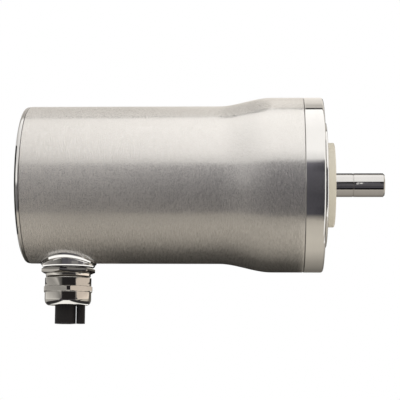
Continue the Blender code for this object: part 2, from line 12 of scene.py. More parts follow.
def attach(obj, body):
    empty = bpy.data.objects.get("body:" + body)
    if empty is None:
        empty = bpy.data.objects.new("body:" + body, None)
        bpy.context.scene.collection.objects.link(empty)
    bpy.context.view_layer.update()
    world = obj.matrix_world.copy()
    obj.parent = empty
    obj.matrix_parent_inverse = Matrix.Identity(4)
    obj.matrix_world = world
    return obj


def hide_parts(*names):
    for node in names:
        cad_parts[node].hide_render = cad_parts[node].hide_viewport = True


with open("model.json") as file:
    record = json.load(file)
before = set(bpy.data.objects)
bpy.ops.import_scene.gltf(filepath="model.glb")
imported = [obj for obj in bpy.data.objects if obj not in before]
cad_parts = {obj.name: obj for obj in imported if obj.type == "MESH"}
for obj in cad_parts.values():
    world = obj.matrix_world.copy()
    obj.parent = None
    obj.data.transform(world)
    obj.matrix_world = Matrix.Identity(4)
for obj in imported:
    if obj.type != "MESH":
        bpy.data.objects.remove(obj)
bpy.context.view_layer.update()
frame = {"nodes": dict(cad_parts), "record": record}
nodes = frame["nodes"]
scene = bpy.context.scene
for startup in ("Cube", "Light", "Camera"):
    if startup in bpy.data.objects:
        bpy.data.objects.remove(bpy.data.objects[startup], do_unlink=True)

MM = 0.001

# ---------------------------------------------------------------- sizes, in millimetres
REAR_X, SEAM_X, PILOT_X, COVER_X, TIP_X = -175.2, -11.35, 2.0, 6.9, 36.5
TUBE_R, BELL_R, WALL = 46.7, 51.65, 2.5
PILOT_R, SEAL_COVER_R, SHAFT_R = 37.0, 25.0, 7.0
FLARE_START, FLARE_END = -61.0, -30.0
TAPPED_CIRCLE, SCREW_CIRCLE, BOLT_CIRCLE = 42.5, 42.4, 38.6
GLAND_X, GLAND_LEAN = -149.8, math.radians(8)
POWER_R, SIGNAL_R, CABLE_END = 6.15, 2.55, 82.3
POWER_AT, SIGNAL_AT = -1.3, 7.75

s, c = math.sin(GLAND_LEAN), math.cos(GLAND_LEAN)
GLAND = Matrix(((1, 0, 0, GLAND_X * MM), (0, -c, -s, 0), (0, s, -c, 0), (0, 0, 0, 1)))


# ---------------------------------------------------------------- mesh tools
def smooth(t):
    t = np.clip(t, 0, 1)
    return t * t * (3 - 2 * t)


def rounded(corners, close=False, steps=5):
    """Points of a profile whose corners (x, r, radius) are rounded by their radius."""
    points = []
    count = len(corners)
    for i, corner in enumerate(corners):
        here = np.array(corner[:2], float)
        radius = corner[2] if len(corner) > 2 else 0
        if not radius or (not close and i in (0, count - 1)):
            points.append(here)
            continue
        back = np.array(corners[i - 1][:2], float) - here
        ahead = np.array(corners[(i + 1) % count][:2], float) - here
        back_length, ahead_length = np.linalg.norm(back), np.linalg.norm(ahead)
        back, ahead = back / back_length, ahead / ahead_length
        half = math.acos(np.clip(back @ ahead, -1, 1)) / 2
        reach = min(radius / math.tan(half), 0.49 * back_length, 0.49 * ahead_length)
        radius = reach * math.tan(half)
        middle = (back + ahead) / np.linalg.norm(back + ahead)
        centre = here + middle * radius / math.sin(half)
        first, last = here + back * reach - centre, here + ahead * reach - centre
        sweep = math.acos(np.clip(first @ last / radius ** 2, -1, 1))
        for k in range(steps + 1):
            f = k / steps
            points.append(centre + (first * math.sin((1 - f) * sweep) + last * math.sin(f * sweep)) / math.sin(sweep))
    return points


def braced(points, close=False, reach=0.15):
    """The same points with one more near each end of every long run, so that shading stays flat along it."""
    out = []
    count = len(points)
    for i in range(count if close else count - 1):
        a, b = np.array(points[i], float), np.array(points[(i + 1) % count], float)
        length = np.linalg.norm(b - a)
        out.append(a)
        if length > 4 * reach:
            out += [a + (b - a) * reach / length, b - (b - a) * reach / length]
    if not close:
        out.append(np.array(points[-1], float))
    return out


def shade(piece, sharp=28):
    piece.data.shade_smooth()
    piece.data.set_sharp_from_angle(angle=math.radians(sharp))


def skinned(name, rings, close=False, sharp=28):
    """A closed solid through rings of points, each ring a full turn or a single pole, in millimetres."""
    points, spans, faces = [], [], []
    for ring in rings:
        ring = np.atleast_2d(np.asarray(ring, float))
        spans.append((len(points), len(ring)))
        points.extend(map(tuple, ring * MM))
    pairs = list(zip(spans, spans[1:])) + ([(spans[-1], spans[0])] if close else [])
    for (a, many_a), (b, many_b) in pairs:
        many = max(many_a, many_b)
        for i in range(many):
            j = (i + 1) % many
            if many_a == 1:
                faces.append((a, b + i, b + j))
            elif many_b == 1:
                faces.append((a + j, a + i, b))
            else:
                faces.append((a + i, b + i, b + j, a + j))
    mesh = bpy.data.meshes.new(name)
    mesh.from_pydata(points, [], faces)
    work = bmesh.new()
    work.from_mesh(mesh)
    bmesh.ops.recalc_face_normals(work, faces=work.faces)
    if work.calc_volume(signed=True) < 0:
        bmesh.ops.reverse_faces(work, faces=work.faces)
    work.to_mesh(mesh)
    work.free()
    piece = bpy.data.objects.new(name, mesh)
    scene.collection.objects.link(piece)
    shade(piece, sharp)
    return piece


def turn_x(along, radius, sides):
    """A ring about the X axis, or the pole on it."""
    if radius < 1e-6:
        return (along, 0, 0)
    angle = np.arange(sides) * 2 * math.pi / sides
    return np.stack((np.full(sides, along), radius * np.cos(angle), radius * np.sin(angle)), 1)


def turn_z(along, radius, angles):
    """A ring about the Z axis: radius and along may each be one number or one for each angle."""
    if np.ndim(radius) == 0 and radius < 1e-6:
        return (0, 0, along)
    flat = np.ones(len(angles))
    return np.stack((radius * flat * np.cos(angles), radius * flat * np.sin(angles), along * flat), 1)


def lathe_x(name, corners, sides=192, close=False, brace=0.15, sharp=28):
    points = braced(rounded(corners, close), close, brace)
    return skinned(name, [turn_x(x, r, sides) for x, r in points], close, sharp)


def lathe_z(name, corners, sides=128, close=False, brace=0.15, sharp=28):
    angles = np.arange(sides) * 2 * math.pi / sides
    points = braced(rounded(corners, close), close, brace)
    return skinned(name, [turn_z(z, r, angles) for z, r in points], close, sharp)


def shifted(piece, offset):
    piece.data.transform(Matrix.Translation(Vector(offset) * MM))
    return piece


def cut(piece, *cutters, sharp=28, operation="DIFFERENCE"):
    for cutter in cutters:
        step = piece.modifiers.new("cut", "BOOLEAN")
        step.operation, step.object, step.solver = operation, cutter, "EXACT"
    view = bpy.context.evaluated_depsgraph_get()
    view.update()
    mesh = bpy.data.meshes.new_from_object(piece.evaluated_get(view))
    piece.modifiers.clear()
    old, piece.data = piece.data, mesh
    mesh.name = piece.name
    bpy.data.meshes.remove(old)
    for cutter in cutters:
        bpy.data.objects.remove(cutter, do_unlink=True)
    work = bmesh.new()
    work.from_mesh(mesh)
    bmesh.ops.remove_doubles(work, verts=work.verts, dist=1e-7)
    bmesh.ops.dissolve_degenerate(work, edges=work.edges, dist=1e-7)
    work.to_mesh(mesh)
    work.free()
    shade(piece, sharp)
    return piece


def around(circle, degrees):
    """Y and Z of a point on a circle about the shaft's axis."""
    return circle * math.cos(math.radians(degrees)), circle * math.sin(math.radians(degrees))


def hexagon(across, corner, first, flat_steps=7, corner_steps=8):
    """Angles and radii of a hexagon with rounded corners, one corner at the angle first, in degrees."""
    inner = across / 2
    centre = (inner - corner) / math.cos(math.pi / 6)
    tangent = math.atan2((inner - corner) * math.tan(math.pi / 6), inner)
    angles, radii = [], []
    for k in range(6):
        middle = math.radians(first + 30 + 60 * k)
        for f in (-1, -0.96, *np.linspace(-0.8, 0.8, flat_steps), 0.96, 1):
            angles.append(middle + tangent * f)
            radii.append(inner / math.cos(tangent * f))
        for f in np.linspace(0, 1, corner_steps + 2)[1:-1]:
            turned = tangent + (math.pi / 3 - 2 * tangent) * f
            off = math.pi / 6 - turned
            angles.append(middle + turned)
            radii.append(centre * math.cos(off) + math.sqrt(corner ** 2 - (centre * math.sin(off)) ** 2))
    return np.array(angles), np.array(radii)


# ---------------------------------------------------------------- material tools
def node(tree, kind, sockets=None, **settings):
    made = tree.nodes.new("ShaderNode" + kind)
    for key, value in settings.items():
        setattr(made, key, value)
    for key, value in (sockets or {}).items():
        if isinstance(value, bpy.types.NodeSocket):
            tree.links.new(value, made.inputs[key])
        else:
            made.inputs[key].default_value = value
    return made


class Finish:
    """A node material in the making: object coordinates, noises, ramps and the shader they end in."""

    def __init__(self, name, **constants):
        self.material = bpy.data.materials.new(name)
        self.material.use_nodes = True
        self.tree = self.material.node_tree
        self.shader = self.tree.nodes["Principled BSDF"]
        self.place = self.add("TexCoord").outputs["Object"]
        for key, value in constants.items():
            self.set(key.replace("_", " "), value)

    def add(self, kind, sockets=None, **settings):
        return node(self.tree, kind, sockets, **settings)

    def set(self, socket, value):
        if isinstance(value, bpy.types.NodeSocket):
            self.tree.links.new(value, self.shader.inputs[socket])
        else:
            self.shader.inputs[socket].default_value = value

    def noise(self, scale, detail=2.0, roughness=0.5, offset=(0, 0, 0)):
        """Noise stretched by a scale for each axis, in features to the metre."""
        spread = self.add("Mapping", {"Vector": self.place, "Scale": scale, "Location": offset})
        return self.add("TexNoise", {"Vector": spread.outputs[0], "Scale": 1.0, "Detail": detail, "Roughness": roughness}).outputs[0]

    def range(self, value, low, high, to_low, to_high, smooth_step=True):
        return self.add("MapRange", {"Value": value, "From Min": low, "From Max": high, "To Min": to_low, "To Max": to_high},
                        interpolation_type="SMOOTHSTEP" if smooth_step else "LINEAR").outputs[0]

    def math(self, operation, a, b):
        return self.add("Math", {0: a, 1: b}, operation=operation).outputs[0]

    def tint(self, value, *stops):
        ramp = self.add("ValToRGB", {"Fac": value})
        ends = ramp.color_ramp.elements
        while len(ends) > 1:
            ends.remove(ends[0])
        for k, (position, colour) in enumerate(stops):
            end = ends[0] if k == 0 else ends.new(position)
            end.position, end.color = position, (*colour, 1)
        return ramp.outputs[0]

    def bump(self, height, strength, distance, under=None):
        sockets = {"Height": height, "Strength": strength, "Distance": distance}
        if under is not None:
            sockets["Normal"] = under
        return self.add("Bump", sockets).outputs[0]


def brushed_stainless():
    """Brushed round the tube: bright lines too fine to see one by one between duller ones, with longer streaks over
    both. The duller lines are lighter and their share grows toward the rear end, which paints light onto that end; the
    streaks paint glints into the colour low on the tube.
    """
    f = Finish("brushed_stainless", Metallic=1.0, Anisotropic=0.55, Anisotropic_Rotation=0.25)
    f.set("Tangent", f.add("Tangent", direction_type="RADIAL", axis="X").outputs[0])
    line = f.noise((26000, 2600, 2600), 1, 0.5)
    streak = f.noise((3000, 360, 360), 2, 0.55, (2, 5, 1))
    cloud = f.noise((28, 22, 22), 3, 0.5)
    axes = f.add("SeparateXYZ", {"Vector": f.place}).outputs
    along = axes[0]
    dull = f.math("ADD", f.range(streak, 0.32, 0.68, 0.56, 0.70), f.range(cloud, 0.3, 0.7, -0.015, 0.02))
    dull = f.math("ADD", dull, f.range(along, -0.175, -0.02, 0.15, -0.05, False))
    # Painted light: swing and slope raise the share of the duller, lighter lines toward the rear end of the tube. This
    # lightens its base colour there as well as making it rougher.
    swing = f.math("MULTIPLY", f.range(streak, 0.3, 0.7, -0.06, 0.06, False), f.range(along, -0.16, -0.03, 1.0, 0.30, False))
    slope = f.math("ADD", f.range(along, -0.175, -0.06, 0.088, 0.03, False), f.range(along, -0.06, -0.02, 0.0, -0.034, False))
    painted_light_lean = f.math("ADD", swing, slope)
    share = f.range(f.math("ADD", line, painted_light_lean), 0.45, 0.55, 0.0, 1.0)
    f.set("Roughness", f.add("Mix", {0: share, 2: 0.12, 3: dull}, data_type="FLOAT").outputs[0])
    tone = f.tint(f.math("ADD", share, f.range(cloud, 0.3, 0.7, -0.06, 0.06)), (0.0, (0.602, 0.588, 0.567)), (1.0, (0.868, 0.848, 0.823)))
    # Painted glints: the streaks change the base colour by up to 15% low on the tube and by only 2% higher up. This
    # stands in for sparkle against the dark lower band.
    grain = f.math("MULTIPLY", f.range(streak, 0.3, 0.7, -1.0, 1.0, False), f.range(axes[2], -0.026, -0.014, 0.15, 0.02))
    f.set("Base Color", f.add("VectorMath", {0: tone, "Scale": f.math("ADD", grain, 1.0)}, operation="SCALE").outputs[0])
    f.set("Normal", f.bump(streak, 0.02, 0.0001))
    return f.material


def polished_stainless(name, dark, light, low, high, lines):
    """Turned and polished steel: faint tool lines across the given axes and a soft haze of handling."""
    f = Finish(name, Metallic=1.0)
    tool = f.noise(lines, 2, 0.5)
    haze = f.noise((55, 70, 70), 4, 0.6)
    smear = f.noise((160, 45, 45), 3, 0.6, (5, 3, 8))
    f.set("Roughness", f.math("ADD", f.range(haze, 0.35, 0.68, low, high), f.range(tool, 0.35, 0.7, 0.0, 0.025)))
    f.set("Base Color", f.tint(smear, (0.28, dark), (0.72, light)))
    f.set("Normal", f.bump(tool, 0.018, 0.00005))
    return f.material


def nickel_brass():
    """Plated brass with soft ripples, and a painted highlight on the turned collar under the hexagon, where the base
    colour is lifted.
    """
    f = Finish("nickel_brass", Metallic=1.0)
    ripple = f.noise((620, 620, 520), 3, 0.55)
    cloud = f.noise((120, 120, 90), 3, 0.6, (2, 7, 1))
    height = f.add("SeparateXYZ", {"Vector": f.place}).outputs[2]
    # Painted highlight: a band about 53 to 55 mm up the gland, over the collar, has its base colour scaled up 1.65
    # times.
    painted_collar_highlight = f.math("MULTIPLY", f.range(height, 0.0529, 0.0531, 0.0, 1.0), f.range(height, 0.0548, 0.0550, 1.0, 0.0))
    tone = f.tint(cloud, (0.30, (0.48, 0.465, 0.44)), (0.70, (0.545, 0.53, 0.505)))
    f.set("Base Color", f.add("VectorMath", {0: tone, "Scale": f.range(painted_collar_highlight, 0.0, 1.0, 1.0, 1.65)}, operation="SCALE").outputs[0])
    f.set("Roughness", f.range(ripple, 0.3, 0.72, 0.05, 0.12))
    turned = f.bump(f.noise((260, 260, 5200), 2, 0.5), 0.02, 0.00005)
    f.set("Normal", f.bump(ripple, 0.05, 0.0001, turned))
    return f.material


def steel(name, dark, light, low, high, lines, bump=0.03):
    f = Finish(name, Metallic=1.0)
    tool = f.noise(lines, 3, 0.55)
    cloud = f.noise((90, 90, 90), 3, 0.6, (1, 4, 2))
    f.set("Base Color", f.tint(f.math("ADD", f.math("MULTIPLY", tool, 0.4), f.math("MULTIPLY", cloud, 0.6)), (0.3, dark), (0.7, light)))
    f.set("Roughness", f.range(tool, 0.3, 0.7, low, high))
    f.set("Normal", f.bump(tool, bump, 0.00008))
    return f.material


def lamination():
    f = Finish("lamination", Metallic=0.85)
    sheets = f.add("TexWave", {"Vector": f.place, "Scale": 320.0, "Distortion": 0.25, "Detail": 1.0}, wave_type="BANDS", bands_direction="X").outputs[1]
    cloud = f.noise((140, 140, 140), 3, 0.6)
    f.set("Base Color", f.tint(f.math("ADD", f.math("MULTIPLY", sheets, 0.6), f.math("MULTIPLY", cloud, 0.4)),
                               (0.1, (0.10, 0.10, 0.115)), (0.55, (0.27, 0.27, 0.29)), (0.9, (0.36, 0.36, 0.37))))
    f.set("Roughness", f.range(cloud, 0.3, 0.7, 0.38, 0.6))
    f.set("Normal", f.bump(sheets, 0.3, 0.0001))
    return f.material


def cast_aluminium():
    f = Finish("cast_aluminium", Metallic=1.0)
    sand = f.noise((1600, 1600, 1600), 4, 0.6)
    cloud = f.noise((80, 80, 80), 3, 0.5)
    f.set("Base Color", f.tint(cloud, (0.3, (0.58, 0.585, 0.595)), (0.7, (0.70, 0.70, 0.71))))
    f.set("Roughness", f.range(sand, 0.3, 0.7, 0.36, 0.55))
    f.set("Normal", f.bump(sand, 0.25, 0.0002))
    return f.material


def copper_enamel():
    f = Finish("copper_enamel", Metallic=0.9, Coat_Weight=0.5, Coat_Roughness=0.12)
    wire = f.add("TexWave", {"Vector": f.place, "Scale": 230.0, "Distortion": 1.6, "Detail": 2.0, "Detail Scale": 1.5}, wave_type="RINGS", rings_direction="X").outputs[1]
    cloud = f.noise((150, 150, 150), 3, 0.6)
    f.set("Base Color", f.tint(f.math("ADD", f.math("MULTIPLY", wire, 0.55), f.math("MULTIPLY", cloud, 0.45)),
                               (0.15, (0.22, 0.06, 0.02)), (0.6, (0.56, 0.22, 0.08)), (0.9, (0.68, 0.33, 0.14))))
    f.set("Roughness", f.range(cloud, 0.3, 0.7, 0.25, 0.42))
    f.set("Normal", f.bump(wire, 0.5, 0.0003))
    return f.material


def ferrite():
    f = Finish("ferrite", Metallic=0.2)
    grain = f.noise((1900, 1900, 1900), 4, 0.65)
    f.set("Base Color", f.tint(grain, (0.3, (0.055, 0.055, 0.06)), (0.7, (0.125, 0.125, 0.13))))
    f.set("Roughness", f.range(grain, 0.3, 0.7, 0.55, 0.75))
    f.set("Normal", f.bump(grain, 0.2, 0.0001))
    return f.material


def plastic(name, dark, light, low, high, grain_scale=1500, bump=0.06):
    f = Finish(name)
    cloud = f.noise((60, 60, 60), 3, 0.55)
    grain = f.noise((grain_scale, grain_scale, grain_scale), 3, 0.6, (3, 6, 1))
    f.set("Base Color", f.tint(f.math("ADD", f.math("MULTIPLY", cloud, 0.7), f.math("MULTIPLY", grain, 0.3)), (0.3, dark), (0.7, light)))
    f.set("Roughness", f.range(grain, 0.3, 0.7, low, high))
    f.set("Normal", f.bump(grain, bump, 0.0001))
    return f


def board_green():
    f = Finish("board_green", Coat_Weight=0.6, Coat_Roughness=0.15)
    tracks = f.add("TexBrick", {"Vector": f.place, "Scale": 260.0, "Mortar Size": 0.06, "Color1": (0.02, 0.13, 0.06, 1), "Color2": (0.025, 0.16, 0.075, 1),
                                "Mortar": (0.05, 0.24, 0.11, 1)})
    cloud = f.noise((300, 300, 300), 3, 0.6)
    f.set("Base Color", f.add("Mix", {0: f.range(cloud, 0.3, 0.7, 0.0, 0.5), 6: tracks.outputs[0], 7: (0.03, 0.17, 0.085, 1)}, data_type="RGBA").outputs[2])
    f.set("Roughness", f.range(cloud, 0.3, 0.7, 0.3, 0.45))
    f.set("Normal", f.bump(tracks.outputs[1], 0.15, 0.0001))
    return f.material


def black_sheath():
    f = plastic("black_sheath", (0.0125, 0.0112, 0.0116), (0.018, 0.0165, 0.017), 0.5, 0.66, 1300, 0.08)
    f.set("Specular IOR Level", 0.18)
    f.set("Normal", f.bump(f.noise((1400, 1400, 60), 2, 0.5), 0.06, 0.0001))
    return f.material


def black_rubber():
    f = plastic("black_rubber", (0.010, 0.010, 0.010), (0.022, 0.021, 0.021), 0.62, 0.85, 1700, 0.15)
    f.set("Specular IOR Level", 0.3)
    return f.material


TURNED_X = (9000, 70, 70)
finishes = {
    "brushed_stainless": brushed_stainless(),
    "polished_stainless": polished_stainless("polished_stainless", (0.685, 0.675, 0.66), (0.715, 0.705, 0.69), 0.03, 0.075, TURNED_X),
    "ground_steel": steel("ground_steel", (0.50, 0.49, 0.48), (0.60, 0.59, 0.58), 0.2, 0.34, (5200, 160, 160)),
    "gear_steel": steel("gear_steel", (0.34, 0.34, 0.35), (0.48, 0.48, 0.49), 0.28, 0.45, (3200, 600, 600), 0.06),
    "lamination": lamination(),
    "cast_aluminium": cast_aluminium(),
    "copper_enamel": copper_enamel(),
    "ferrite": ferrite(),
    "bronze": steel("bronze", (0.50, 0.32, 0.13), (0.66, 0.45, 0.21), 0.25, 0.42, (2600, 500, 500), 0.05),
    "nickel_brass": nickel_brass(),
    "cream_plastic": plastic("cream_plastic", (0.675, 0.63, 0.515), (0.725, 0.685, 0.58), 0.34, 0.48).material,
    "black_rubber": black_rubber(),
    "black_sheath": black_sheath(),
    "board_green": board_green(),
}
shaft_finish = polished_stainless("ground_shaft_stainless", (0.575, 0.565, 0.55), (0.615, 0.605, 0.59), 0.035, 0.075, TURNED_X)
boss_finish = polished_stainless("boss_stainless", (0.66, 0.65, 0.635), (0.70, 0.69, 0.675), 0.05, 0.11, (90, 90, 7000))
core_finish = plastic("core_insulation", (0.035, 0.035, 0.037), (0.06, 0.06, 0.062), 0.35, 0.5).material
strand_finish = steel("bare_copper", (0.62, 0.30, 0.16), (0.80, 0.45, 0.28), 0.22, 0.4, (2600, 2600, 400), 0.2)

slot_of = {sub["node"]: sub["material_slot"] for sub in frame["record"]["subparts"]}
for name, cad in nodes.items():
    cad.data.materials.clear()
    cad.data.materials.append(finishes[slot_of[name]])


def fit(piece, body, slot, finish, *replaced):
    piece.data.materials.clear()
    piece.data.materials.append(finish)
    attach(piece, body)
    if replaced:
        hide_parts(*replaced)
    return piece


# ---------------------------------------------------------------- camera
target = Vector((-0.0723, 0, -0.00875))
turn = math.radians(2.5)
lens = bpy.data.cameras.new("camera")
lens.lens, lens.sensor_width, lens.clip_start = 115.15, 36, 0.01
camera = bpy.data.objects.new("camera", lens)
camera.location = target + Vector((math.sin(turn), -math.cos(turn), 0)) * 0.76
camera.rotation_euler = (target - camera.location).to_track_quat("-Z", "Y").to_euler()
scene.collection.objects.link(camera)
scene.camera = camera


# ---------------------------------------------------------------- housing tube, flared at the front
def flare(x):
    return TUBE_R + (BELL_R - TUBE_R) * float(smooth((x - FLARE_START) / (FLARE_END - FLARE_START)))


runs = [-170, -166, -158, -149, -140, -132, -128, -115, -100, -85, -72]
bend = list(np.linspace(FLARE_START, FLARE_END, 46))
outer = [(-172.3, TUBE_R, 0.28)] + [(x, TUBE_R) for x in runs] + [(x, flare(x)) for x in bend] + [(-20, BELL_R), (-11.6, BELL_R, 0.3)]
inner = [(-11.6, BELL_R - WALL, 0.15), (-20, BELL_R - WALL)] + [(x, flare(x) - WALL) for x in bend[::-1]] + [(x, TUBE_R - WALL) for x in runs[::-1]] + [(-172.3, TUBE_R - WALL, 0.15)]
housing = lathe_x("housing_shell", outer + inner, close=True)
hole = lathe_z("gland_hole", [(30, 0), (30, 13.1), (60, 13.1), (60, 0)], 96)
hole.data.transform(GLAND)
cut(housing, hole)
fit(housing, "housing", "brushed_stainless", finishes["brushed_stainless"], "motor_housing")


# ---------------------------------------------------------------- screws, their holes and tapped threads
def sunk_hole(name, face_x, way, y, z, depth):
    """A cutter for a countersunk hole from a face, going in the direction way along X."""
    steps = [(-0.6, 0), (-0.6, 4.25), (0.5, 4.25), (2.55, 2.2), (depth, 2.2), (depth, 0)]
    return shifted(lathe_x(name, [(face_x + way * d, r) for d, r in steps], 48), (0, y, z))


def tapped_hole(name, y, z, minor=2.5, major=2.98, pitch=1.0, depth=9.0, sides=40, rows=6):
    """A cutter for a tapped hole into the flange face: a helical thread, a chamfered mouth and a drill point."""
    angle = np.arange(sides) * 2 * math.pi / sides
    rings = [(0.5, 0, 0)]
    for d in [-0.5, *np.arange(0, depth + 1e-9, pitch / rows), depth + 0.02]:
        wave = np.abs(((d / pitch - angle / (2 * math.pi)) % 1.0) * 2 - 1)
        run_out = float(smooth((depth - 0.3 - d) / 1.2))
        thread = minor + (major - minor) * np.clip(wave * 1.25 - 0.12, 0, 1) * run_out
        radius = np.maximum(thread, 3.1 - d)
        rings.append(np.stack((np.full(sides, -d), radius * np.cos(angle), radius * np.sin(angle)), 1))
    rings.append((-depth - 1.2, 0, 0))
    return shifted(skinned(name, rings), (0, y, z))


def socket_screw(name, head_x, way, y, z, length):
    """A countersunk screw with a hexagon socket. Way is the direction along X that its head faces."""
    angles, six = hexagon(2.5, 0.08, 0, 5, 3)
    rings = []
    profile = [("pole", 1.95), ("six", 1.62), ("six", 1.50), ("six", 0.14), ("mouth", 0.0), (3.55, 0.0), (3.72, 0.03), (3.80, 0.12), (3.80, 0.22),
               (3.74, 0.36), (3.6, 0.50), (2.05, 2.05), (1.92, 2.25), (1.9, 2.5), (1.9, length - 0.6), (1.5, length), ("pole", length)]
    for radius, depth in profile:
        along = np.full(len(angles), head_x - way * depth)
        if radius == "pole":
            rings.append((head_x - way * depth, 0, 0))
            continue
        radius = six if radius == "six" else six + 0.12 if radius == "mouth" else np.full(len(angles), radius)
        rings.append(np.stack((along, radius * np.cos(angles), radius * np.sin(angles)), 1))
    return shifted(skinned(name, rings), (0, y, z))


# ---------------------------------------------------------------- front flange
flange = lathe_x("flange_body", [
    (0, BELL_R, 1.3), (SEAM_X, BELL_R, 0.28), (SEAM_X, 48.85, 0.1), (-13.3, 48.85, 0.1), (-13.3, 46.4), (-16.2, 46.4), (-16.2, 48.85, 0.1), (-18.4, 48.85, 0.3),
    (-18.4, 17.8, 0.2), (-17.7, 17.8), (-17.7, 19), (-16.2, 19), (-16.2, 17.8), (-5.7, 17.8), (-5.7, 10), (-4.2, 10), (-4.2, 13), (PILOT_X, 13, 0.2),
    (PILOT_X, PILOT_R, 0.38), (0, PILOT_R, 0.12)], close=True)
cut(flange,
    *[sunk_hole("sunk_%d" % k, 0, -1, *around(SCREW_CIRCLE, k * 90), 40) for k in range(4)],
    *[tapped_hole("tapped_%d" % k, *around(TAPPED_CIRCLE, 45 + k * 90)) for k in range(4)])
fit(flange, "housing", "polished_stainless", finishes["polished_stainless"], "front_flange")

# ---------------------------------------------------------------- rear cover
rear = lathe_x("rear_cover_body", [
    (REAR_X, 0), (REAR_X, 20), (REAR_X, TUBE_R - 0.5, 2.2), (-172.6, TUBE_R, 0.2), (-172.6, 43.9, 0.1), (-171.2, 43.9, 0.1), (-171.2, 41.5), (-168.4, 41.5), (-168.4, 43.9, 0.1),
    (-165.6, 43.9, 0.4), (-165.6, 35.5, 0.3), (-171.4, 35.5, 0.4), (-171.4, 0)])
cut(rear, *[sunk_hole("sunk_%d" % k, REAR_X, 1, *around(BOLT_CIRCLE, 45 + k * 90), 40) for k in range(4)])
fit(rear, "housing", "polished_stainless", finishes["polished_stainless"], "rear_cover")

for k in range(4):
    screw = socket_screw("flange_screw_%d_socket" % (k + 1), -0.5, 1, *around(SCREW_CIRCLE, k * 90), 33)
    fit(screw, "housing", "ground_steel", finishes["ground_steel"], "flange_screw_%d" % (k + 1))
    bolt = socket_screw("tie_bolt_%d_socket" % (k + 1), REAR_X + 0.5, -1, *around(BOLT_CIRCLE, 45 + k * 90), 116.5)
    fit(bolt, "housing", "ground_steel", finishes["ground_steel"], "tie_bolt_%d" % (k + 1))

# ---------------------------------------------------------------- seal cover and shaft
cover = lathe_x("seal_cover_disc", [
    (COVER_X, SEAL_COVER_R, 0.6), (2.3, SEAL_COVER_R, 0.15), (2.3, 12.6), (0, 12.6), (0, 7.4), (COVER_X, 7.4, 0.5)], close=True)
fit(cover, "housing", "cream_plastic", finishes["cream_plastic"], "seal_cover")

shaft = lathe_x("output_shaft_bar", [
    (TIP_X, 0), (TIP_X, 3), (TIP_X, 6.2, 0.12), (35.7, SHAFT_R, 0.15), (18.42, SHAFT_R, 0.03), (18.26, 6.76), (17.94, 6.76), (17.78, SHAFT_R, 0.03), (-4.5, SHAFT_R, 0.05),
    (-4.5, 8.2, 0.1), (-16.3, 8.2), (-16.3, 10.2, 0.1), (-18.6, 10.2, 0.1), (-18.6, 9), (-24.7, 9, 0.3), (-24.7, 0)], 160)
dimple = lathe_z("dimple", [(-1.6, 0)] + [(-1.6 * math.cos(t), 1.6 * math.sin(t)) for t in np.linspace(0, math.pi, 25)[1:-1]] + [(1.6, 0)], 48, brace=9)
cut(shaft, shifted(dimple, (20.2, *around(8.42, 171))))
fit(shaft, "output", "polished_stainless", shaft_finish, "output_shaft")


# ---------------------------------------------------------------- gland, about its own axis
def place(piece):
    piece.matrix_world = GLAND
    return piece


# boss: a saddle pad at its foot lies on the tube and is welded all round, so its upper rings follow the tube
turns = np.arange(160) * 2 * math.pi / 160
facing = np.sin(turns) ** 2
foot = 16.4 + 3.8 * facing
rise, taper, weld, top = 0.45 + 0.8 * facing, 0.65 + 1.2 * facing, 0.15 + 0.25 * facing, 0.2 + 0.3 * facing
profiles, lip, crown = [], [], []
for k, at in enumerate(turns):
    height = math.sqrt(TUBE_R ** 2 - (foot[k] * math.sin(at)) ** 2)
    slope = foot[k] * facing[k] / height
    flat, out = np.array((1, -slope)) / math.hypot(1, slope), np.array((slope, 1)) / math.hypot(1, slope)
    heel = np.array((foot[k], height))
    brow = heel + np.array((0.0, rise[k]))
    hem = brow + np.array((-math.sin(math.radians(38)), math.cos(math.radians(38)))) * taper[k]
    inner = math.sqrt(TUBE_R ** 2 - (12.9 * math.sin(at)) ** 2) - 1.4
    corners = [tuple(heel + flat * 1.5 - out * 1.3), tuple(heel + flat * 1.5 - out * 0.04), (*heel, weld[k]), (*brow, top[k]), (*hem, 0.1), (15.65, hem[1] + 0.01, 0.06),
               (15.65, 48.52, 0.1), (15.15, 49.09, 0.1), (14.75, 49.1, 0.05), (14.75, 48.6), (12.9, 48.6), (12.9, inner)]
    profiles.append([(r, h) for r, h in rounded(corners)])
    lip.append(hem)
    crown.append(brow)
profiles, lip, crown = np.array(profiles), np.array(lip), np.array(crown)
boss_rings = [turn_z(profiles[:, k, 1], profiles[:, k, 0], turns) for k in range(profiles.shape[1])]
boss = place(skinned("gland_boss_ring", boss_rings, close=True, sharp=30))
fit(boss, "housing", "polished_stainless", boss_finish, "gland_boss")

washer = place(lathe_z("gland_washer_ring", [(48.7, 12.8, 0.1), (48.7, 14.4, 0.2), (49.35, 14.4, 0.2), (49.35, 12.8, 0.1)], close=True))
fit(washer, "housing", "black_rubber", finishes["black_rubber"], "gland_washer")

